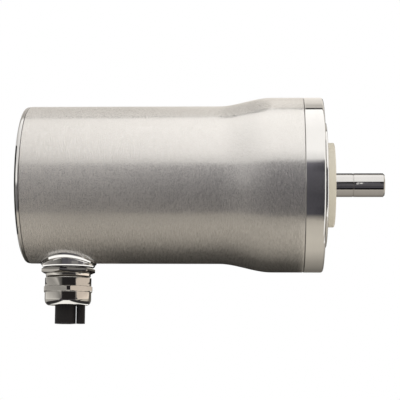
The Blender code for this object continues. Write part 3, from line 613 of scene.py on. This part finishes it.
# body: threaded spigot, hexagon with chamfered corners, a round collar and a smooth neck
angles, six = hexagon(28.0, 0.7, 100.7)
upper = 49.5 + np.maximum(six - 13.6, 0) * 0.22
lower = 53.0 - np.maximum(six - 13.6, 0) * 0.42
body_rings = [turn_z(z, r, angles) for z, r in ((57.5, 9.65), (53.5, 9.2), (40.8, 9.2), (40.8, 12.0), (41.3, 12.5))]
for z in np.arange(41.8, 49.0, 0.75):
    body_rings += [turn_z(z, 12.5, angles), turn_z(z + 0.3, 12.05, angles)]
body_rings += [turn_z(49.42, 12.3, angles), turn_z(49.5, 12.5, angles), turn_z(49.5, 13.45, angles), turn_z(49.5, 13.6, angles),
               turn_z(49.5 + (upper - 49.5) * 0.94, 13.6 + (six - 13.6) * 0.94, angles), turn_z(upper + 0.03, six - 0.02, angles), turn_z(upper + 0.14, six, angles),
               turn_z(lower - 0.14, six, angles), turn_z(lower - 0.03, six - 0.02, angles), turn_z(53.0 - (53.0 - lower) * 0.94, 13.6 + (six - 13.6) * 0.94, angles),
               turn_z(53.0, 13.6, angles), turn_z(53.0, 13.4, angles), turn_z(53.02, 13.28, angles), turn_z(53.1, 13.2, angles), turn_z(53.25, 13.2, angles),
               turn_z(54.25, 13.2, angles), turn_z(54.4, 13.19, angles), turn_z(54.58, 13.1, angles), turn_z(54.68, 12.95, angles), turn_z(54.7, 12.75, angles),
               turn_z(54.7, 10.6, angles), turn_z(54.76, 10.3, angles), turn_z(54.95, 10.15, angles), turn_z(55.3, 10.1, angles), turn_z(57.0, 10.1, angles),
               turn_z(57.4, 10.0, angles), turn_z(57.5, 9.8, angles)]
body = place(skinned("gland_body_hexagon", body_rings, close=True, sharp=22))
fit(body, "housing", "nickel_brass", finishes["nickel_brass"], "gland_body")

# cap nut: two turned skirts, a hexagon band between them and a rounded nose
angles, six = hexagon(28.2, 2.9, 81, 7, 12)
rise = np.maximum(six - 13.85, 0) * 0.22
cap_rings = [turn_z(z, r, angles) for z, r in braced(rounded([(70.9, 10.8), (55.1, 10.8, 0.25), (55.1, 13.65, 0.7), (60.42, 13.65, 0.0)]))]
cap_rings += [turn_z(60.46, 13.68, angles), turn_z(60.5, 13.74, angles), turn_z(60.5, 13.85, angles),
              turn_z(60.5 + rise * 0.9, 13.85 + (six - 13.85) * 0.93, angles), turn_z(60.53 + rise, six - 0.03, angles), turn_z(60.64 + rise, six, angles), turn_z(60.8 + rise, six, angles),
              turn_z(63.6 - rise, six, angles), turn_z(63.76 - rise, six, angles), turn_z(63.87 - rise, six - 0.03, angles), turn_z(63.9 - rise * 0.9, 13.85 + (six - 13.85) * 0.93, angles),
              turn_z(63.9, 13.85, angles), turn_z(63.9, 13.74, angles), turn_z(63.94, 13.68, angles), turn_z(63.98, 13.65, angles), turn_z(64.2, 13.65, angles), turn_z(67.8, 13.65, angles)]
cap_rings += [turn_z(67.9 + 3.6 * math.sin(t), 11.15 + 2.5 * math.cos(t), angles) for t in np.linspace(0.05, math.pi / 2, 14)]
cap_rings += [turn_z(71.5, 11.0, angles), turn_z(71.42, 10.85, angles), turn_z(71.3, 10.8, angles)]
cap = place(skinned("gland_cap_dome", cap_rings, close=True, sharp=24))
fit(cap, "housing", "nickel_brass", finishes["nickel_brass"], "gland_cap_nut")

insert = lathe_z("gland_insert_grommet", [(61, 0), (61, 10.5, 0.4), (71.2, 10.5, 0.5), (71.2, 0)], 96)
cut(insert,
    shifted(lathe_z("power_way", [(60, 0), (60, 6.26), (70.6, 6.26), (71.4, 6.6), (72, 6.6), (72, 0)], 64), (POWER_AT, 0, 0)),
    shifted(lathe_z("signal_way", [(60, 0), (60, 2.62), (70.9, 2.62), (71.4, 2.72), (72, 2.72), (72, 0)], 48), (SIGNAL_AT, 0, 0)))
fit(place(insert), "housing", "black_rubber", finishes["black_rubber"], "gland_insert")


def cable(name, radius, outside, inside, skin, sides):
    """A cable out of the gland, cut square, with its sheath standing proud of the cores at the cut."""
    angle = np.arange(sides) * 2 * math.pi / sides
    rings = []
    for z, r in rounded([(33, 0), (33, radius, 0.2), (52, radius), (61.5, radius), (CABLE_END, radius, 0.16), (CABLE_END, radius - skin, 0.1), (CABLE_END - 1.4, radius - skin), (CABLE_END - 1.4, 0)]):
        if abs(z - 52) < 0.01:
            for step in np.linspace(52, 61.5, 14)[:-1]:
                ring = np.array(turn_z(step, radius, angle))
                ring[:, 0] += inside + (outside - inside) * smooth((step - 52) / 9.5)
                rings.append(ring)
            continue
        ring = np.atleast_2d(np.array(turn_z(z, r, angle), float))
        ring[:, 0] += outside if z > 55 else inside
        rings.append(ring)
    return place(skinned(name, rings, sharp=35))


def cores(name, many, circle, radius, copper, outside):
    """Insulated cores in the mouth of a cut cable, and the bare wire in each."""
    for k in range(many):
        angle = 2 * math.pi * (k + 0.5) / many
        middle = (outside + circle * math.cos(angle), circle * math.sin(angle), 0)
        jacket = lathe_z("%s_core_%d" % (name, k + 1), [(CABLE_END - 1.37, 0), (CABLE_END - 1.37, radius), (CABLE_END - 0.78, radius, 0.12), (CABLE_END - 0.78, copper, 0.05),
                                                       (CABLE_END - 0.86, copper), (CABLE_END - 0.86, 0)], 32, brace=0.08)
        fit(place(shifted(jacket, middle)), "housing", "black_sheath", core_finish)
        wire = lathe_z("%s_wire_%d" % (name, k + 1), [(CABLE_END - 0.84, 0), (CABLE_END - 0.84, copper - 0.03), (CABLE_END - 0.74, copper - 0.03, 0.05), (CABLE_END - 0.74, 0)], 24, brace=0.04)
        fit(place(shifted(wire, middle)), "housing", "copper_enamel", strand_finish)


fit(cable("power_cable_sheath", POWER_R, POWER_AT, -2.95, 1.3, 64), "housing", "black_sheath", finishes["black_sheath"], "power_cable")
fit(cable("signal_cable_sheath", SIGNAL_R, SIGNAL_AT, 5.85, 0.6, 48), "housing", "black_sheath", finishes["black_sheath"], "signal_cable")
cores("power", 4, 2.66, 1.8, 0.85, POWER_AT)
cores("signal", 3, 0.97, 0.82, 0.32, SIGNAL_AT)


# ---------------------------------------------------------------- studio
def studio(bands, sides, slits):
    """Soft light all round, in bands by height: bright overhead, a dark gap behind the camera, warm from below. Sides and slits are
    patches over the bands: limits to the left and right, limits up (by Z or by angle) and a colour."""
    world = bpy.data.worlds.new("studio")
    scene.world = world
    world.use_nodes = True
    tree = world.node_tree
    tree.nodes.clear()
    axes = node(tree, "SeparateXYZ", {0: node(tree, "TexCoord").outputs["Generated"]})
    front = node(tree, "Math", {0: axes.outputs[1], 1: -1.0}, operation="MULTIPLY")
    height = node(tree, "Math", {0: axes.outputs[2], 1: front.outputs[0]}, operation="ARCTAN2")
    turned = node(tree, "Math", {0: height.outputs[0]}, operation="DEGREES").outputs[0]
    spread = node(tree, "MapRange", {"Value": turned, "From Min": -180.0, "From Max": 180.0})
    ramp = node(tree, "ValToRGB", {"Fac": spread.outputs[0]})
    ends = ramp.color_ramp.elements
    ends.remove(ends[0])
    for k, (degrees, level, tint) in enumerate(bands):
        at = (degrees + 180) / 360
        end = ends[0] if k == 0 else ends.new(at)
        end.position, end.color = at, (*[level * t for t in tint], 1)
    colour = ramp.outputs[0]
    for value, patches in ((axes.outputs[2], sides), (turned, slits)):
        for across, limits, share, tint in patches:
            mask = share
            for along, (low, high) in [(axes.outputs[0], pair) for pair in across] + [(value, pair) for pair in limits]:
                part = node(tree, "MapRange", {"Value": along, "From Min": low, "From Max": high}, interpolation_type="SMOOTHSTEP").outputs[0]
                mask = node(tree, "Math", {0: mask, 1: part}, operation="MULTIPLY").outputs[0]
            colour = node(tree, "Mix", {0: mask, 6: colour, 7: (*tint, 1)}, data_type="RGBA").outputs[2]
    lit = node(tree, "Background", {"Color": colour})
    seen = node(tree, "Background", {"Color": (1, 1, 1, 1)})
    ray = node(tree, "LightPath")
    both = node(tree, "MixShader", {0: ray.outputs["Is Camera Ray"], 1: lit.outputs[0], 2: seen.outputs[0]})
    node(tree, "OutputWorld", {0: both.outputs[0]})


warm, clear, cool, mid, black = (1, 0.93, 0.81), (1, 0.985, 0.965), (1, 0.965, 1.09), (1, 0.95, 0.88), (0.02, 0.02, 0.022)
studio([(-180, 0.16, warm), (-150, 0.19, warm), (-120, 0.38, warm), (-94, 0.66, warm), (-75, 0.71, warm), (-56, 0.66, warm), (-46, 0.54, warm), (-38, 0.098, cool),
        (-13, 0.085, cool), (8, 0.118, cool), (22, 0.155, cool), (27.7, 0.205, cool), (33.7, 1.0, clear), (46, 1.30, clear), (75, 1.28, clear), (90, 1.36, clear), (100, 1.42, clear), (115.6, 1.5, clear),
        (118.0, 1.15, clear), (120.0, 0.93, mid), (128, 0.86, mid), (137, 0.93, mid), (160, 1.03, mid), (180, 0.93, mid)],
       [(((-0.50, -0.62),), ((0.65, 0.3),), 1.0, (0.60, 0.58, 0.55)),
        (((-0.46, -0.52),), ((0.65, 0.4), (-0.05, 0.12)), 1.0, (1.15, 1.13, 1.10)),
        (((0.62, 0.85),), ((0.65, 0.3),), 1.0, (0.80, 0.74, 0.65)),
        (((-0.12, -0.85),), ((0.3, 0.7),), 0.55, black)],
       [(((-0.01, -0.12),), ((118, 124),), 0.38, black),
        (((0.0, 0.012), (0.037, 0.031)), ((119, 124), (150, 140)), 1.0, (1.50, 1.45, 1.37)),
        (((0.030, 0.038),), ((118.5, 120.0), (136, 126)), 0.26, black),
        (((0.020, 0.034),), ((115.6, 116.4), (120.3, 119.5)), 1.0, black),
        (((-0.02, -0.07), (-0.30, -0.20)), ((115.8, 116.5), (120.3, 119.5)), 1.0, black),
        (((-0.03, -0.15), (-0.30, -0.20)), ((112.0, 114.0), (120.5, 118.5)), 1.0, black),
        (((0.0552, 0.060),), ((15, 19), (33.5, 31.0)), 1.0, (0.004, 0.004, 0.004)),
        (((0.0552, 0.060),), ((-12, -4), (16, 10)), 1.0, (0.14, 0.135, 0.145)),
        (((0.0552, 0.060),), ((-48, -46), (-27, -31)), 1.0, (0.003, 0.003, 0.003)),
        (((0.0537, 0.0542), (0.0590, 0.0576)), ((-42, -39), (30, 27)), 1.0, (0.003, 0.003, 0.003))])


def card(name, points, stops, along, low, high, tint, grid=0, sweep=(0, -1.0, 1.0, 1.0, 1.0)):
    """A sheet that only shows in reflections, and from one side, lit in a ramp along one axis and a plain sweep along another."""
    mesh = bpy.data.meshes.new(name)
    strip = [(k, k + 1, 2 * grid - 2 - k, 2 * grid - 1 - k) for k in range(grid - 1)]
    mesh.from_pydata([Vector(p) for p in points], [], strip or [tuple(range(len(points)))])
    sheet = bpy.data.objects.new(name, mesh)
    scene.collection.objects.link(sheet)
    material = bpy.data.materials.new(name)
    material.use_nodes = True
    tree = material.node_tree
    tree.nodes.clear()
    axes = node(tree, "SeparateXYZ", {0: node(tree, "TexCoord").outputs["Object"]})
    spread = node(tree, "MapRange", {"Value": axes.outputs[along], "From Min": low, "From Max": high})
    ramp = node(tree, "ValToRGB", {"Fac": spread.outputs[0]})
    ends = ramp.color_ramp.elements
    ends.remove(ends[0])
    for k, (at, level) in enumerate(stops):
        end = ends[0] if k == 0 else ends.new(at)
        end.position, end.color = at, (*[level * t for t in tint], 1)
    across, start, stop, at_start, at_stop = sweep
    power = node(tree, "MapRange", {"Value": axes.outputs[across], "From Min": start, "From Max": stop, "To Min": at_start, "To Max": at_stop})
    glow = node(tree, "Emission", {"Color": ramp.outputs[0], "Strength": power.outputs[0]})
    clear_side = node(tree, "MixShader", {0: node(tree, "NewGeometry").outputs["Backfacing"], 1: glow.outputs[0], 2: node(tree, "BsdfTransparent").outputs[0]})
    node(tree, "OutputMaterial", {0: clear_side.outputs[0]})
    mesh.materials.append(material)
    sheet.visible_camera = sheet.visible_diffuse = sheet.visible_shadow = sheet.visible_transmission = False


# Painted shade: this sheet, seen only in reflections under the tube, stands for a table in the tube's shadow. It is lit
# in front, falls to dark under and behind the tube, and is a third brighter toward the rear end.
card("under_sheet", [(-0.21, -0.09, -0.058), (-0.012, -0.09, -0.058), (-0.012, 0.15, -0.058), (-0.21, 0.15, -0.058)],
     ((0, 0.41), (0.15, 0.465), (0.28, 0.485), (0.44, 0.37), (0.53, 0.20), (0.61, 0.06), (1, 0.012)), 1, -0.09, 0.03, (1, 0.93, 0.82),
     sweep=(0, -0.176, -0.148, 1.32, 1.0))

card("gland_right_sheet", [(-0.102, -0.046, -0.068), (-0.116, -0.046, -0.0485), (-0.116, 0.02, -0.0515), (-0.102, 0.02, -0.068)], ((0, 1.6), (0.3, 1.06), (1, 1.0)), 2, -0.068, -0.0485, (1.0, 0.88, 0.77))
card("gland_left_sheet", [(-0.196, 0.02, -0.07), (-0.182, 0.02, -0.044), (-0.177, -0.105, -0.025), (-0.2, -0.105, -0.07)],
     ((0, 1.2), (0.27, 0.62), (0.40, 0.50), (0.455, 0.70), (0.49, 0.90), (0.525, 0.45), (0.56, 0.30), (0.82, 0.15), (1, 0.15)), 2, -0.07, -0.025, (1.0, 0.97, 0.92), sweep=(1, -0.105, -0.045, 0.45, 1.0))
card("gland_front_sheet", [(-0.1615, -0.0508, -0.0699), (-0.157, -0.034, -0.0475), (-0.128, -0.034, -0.0475), (-0.1165, -0.0508, -0.0699)], ((0, 0.03), (1, 0.03)), 0, -0.2, 0, (1.0, 0.94, 0.97))
card("gland_hexagon_sheet", [(-0.1418, -0.033, -0.0464), (-0.1418, -0.033, -0.0428), (-0.127, -0.033, -0.0428), (-0.127, -0.033, -0.0464)], ((0, 0.30), (1, 0.30)), 0, -0.2, 0, (1.0, 0.97, 0.93))
card("gland_floor_sheet", [(-0.25, -0.12, -0.105), (-0.05, -0.12, -0.105), (-0.05, 0.08, -0.105), (-0.25, 0.08, -0.105)],
     ((0, 0.05), (0.34, 0.05), (0.38, 1.7), (0.62, 1.7), (0.66, 0.05), (1, 0.05)), 0, -0.25, -0.05, (1, 0.99, 0.97))
# Painted highlights: glowing strips seen only in reflections, laid a fraction of a millimetre off the boss's bead and
# off its top rim, paint the bright bands next to them.
for name, near, far, low, high in (("boss_sheet", lip + (0.12, 0.25), crown + (0.25, 0.70), 30, 122), ("boss_rim_sheet", lip * 0 + (15.05, 49.3), lip * 0 + (15.85, 48.8), 8, 172)):
    arc = [k for k in range(len(turns)) if low < math.degrees(turns[k]) < high]
    edges = (*turn_z(near[arc, 1], near[arc, 0], turns[arc]), *turn_z(far[arc, 1], far[arc, 0], turns[arc])[::-1])
    card(name, [GLAND @ Vector(p * MM) for p in edges], ((0, 1.5), (1, 1.5)), 1, -1, 1, (1, 0.99, 0.97), grid=len(arc))
# Painted shade: this sheet, seen only in reflections under the shaft, stands for the floor there, growing darker toward
# the back under the shaft.
card("shaft_under_sheet", [(0.008, -0.054, -0.05), (0.07, -0.054, -0.05), (0.07, 0.03, -0.05), (0.008, 0.03, -0.05)], ((0, 0.76), (0.14, 0.55), (0.7, 0.46), (1, 0.30)), 1, -0.054, 0.03, (1, 0.93, 0.84))
card("shaft_back_sheet", [(0.009, 0.05, 0.0), (0.07, 0.05, 0.0), (0.07, 0.05, 0.072), (0.009, 0.05, 0.072)], ((0, 0.02), (1, 0.02)), 2, 0, 0.072, (1, 1, 1))

# Painted highlight: a glowing sheet seen only in reflections, a few millimetres in front of the flange's rounded front
# edge, paints the bright line on that edge.
card("flange_edge_sheet", [(0.0032, -0.0575, -0.06), (0.0032, -0.0575, 0.045), (0.0092, -0.0525, 0.045), (0.0092, -0.0525, -0.06)], ((0, 1.3), (1, 1.3)), 1, -1, 1, (1, 0.99, 0.97))

# Painted highlight: a glowing sheet seen only in reflections, a few millimetres in front of the pilot's edge, paints
# the bright line on that edge.
card("pilot_edge_sheet", [(0.0042, -0.0415, -0.045), (0.0042, -0.0415, 0.032), (0.0086, -0.0375, 0.032), (0.0086, -0.0375, -0.045)], ((0, 1.3), (1, 1.3)), 1, -1, 1, (1, 0.99, 0.97))

# Painted dark lines: dark arcs seen only in reflections, about a millimetre off the front of the rear cover's rim and
# of the flange's rim, paint the dark outlines on them.
for name, at, near, far in (("rear_outline_sheet", -176.5, 44.8, 49.2), ("flange_outline_sheet", 1.5, 51.4, 49.4)):
    arc = [math.radians(k) for k in range(-40, 35, 5)]
    edges = [(at, -near * math.cos(a), near * math.sin(a)) for a in arc] + [(at, -far * math.cos(a), far * math.sin(a)) for a in arc[::-1]]
    card(name, [Vector(p) * MM for p in edges], ((0, 0.03), (1, 0.03)), 1, -1, 1, (1, 1, 1), grid=len(arc))

# a soft key light from the front for the plastic, rubber and cables, kept out of the metal's reflections
key = bpy.data.lights.new("key", "AREA")
key.shape, key.size, key.energy, key.color = "DISK", 0.7, 1.5, (1.0, 0.985, 0.95)
key_light = bpy.data.objects.new("key", key)
key_light.location = (0.18, -0.75, 0.42)
key_light.rotation_euler = (Vector((-0.03, 0, -0.01)) - key_light.location).to_track_quat("-Z", "Y").to_euler()
key_light.visible_glossy = False
scene.collection.objects.link(key_light)
fill = bpy.data.lights.new("fill", "AREA")
fill.shape, fill.size, fill.energy, fill.color = "DISK", 0.5, 0.55, (1.0, 0.96, 0.86)
fill_light = bpy.data.objects.new("fill", fill)
fill_light.location = (0.16, -0.45, -0.30)
fill_light.rotation_euler = (Vector((0, 0, -0.01)) - fill_light.location).to_track_quat("-Z", "Y").to_euler()
fill_light.visible_glossy = False
scene.collection.objects.link(fill_light)

floor_mesh = bpy.data.meshes.new("floor")
work = bmesh.new()
bmesh.ops.create_circle(work, cap_ends=True, radius=2.0, segments=128)
work.to_mesh(floor_mesh)
work.free()
floor = bpy.data.objects.new("floor", floor_mesh)
floor.location = (-0.07, 0, -0.45)
scene.collection.objects.link(floor)
ground = Finish("pale_floor", Roughness=0.9)
ground.set("Base Color", ground.tint(ground.noise((3, 3, 3), 3, 0.5), (0.3, (0.78, 0.775, 0.765)), (0.7, (0.82, 0.815, 0.805))))
floor_mesh.materials.append(ground.material)
floor.visible_glossy = False

scene.view_settings.view_transform = "Standard"
scene.view_settings.look = "None"
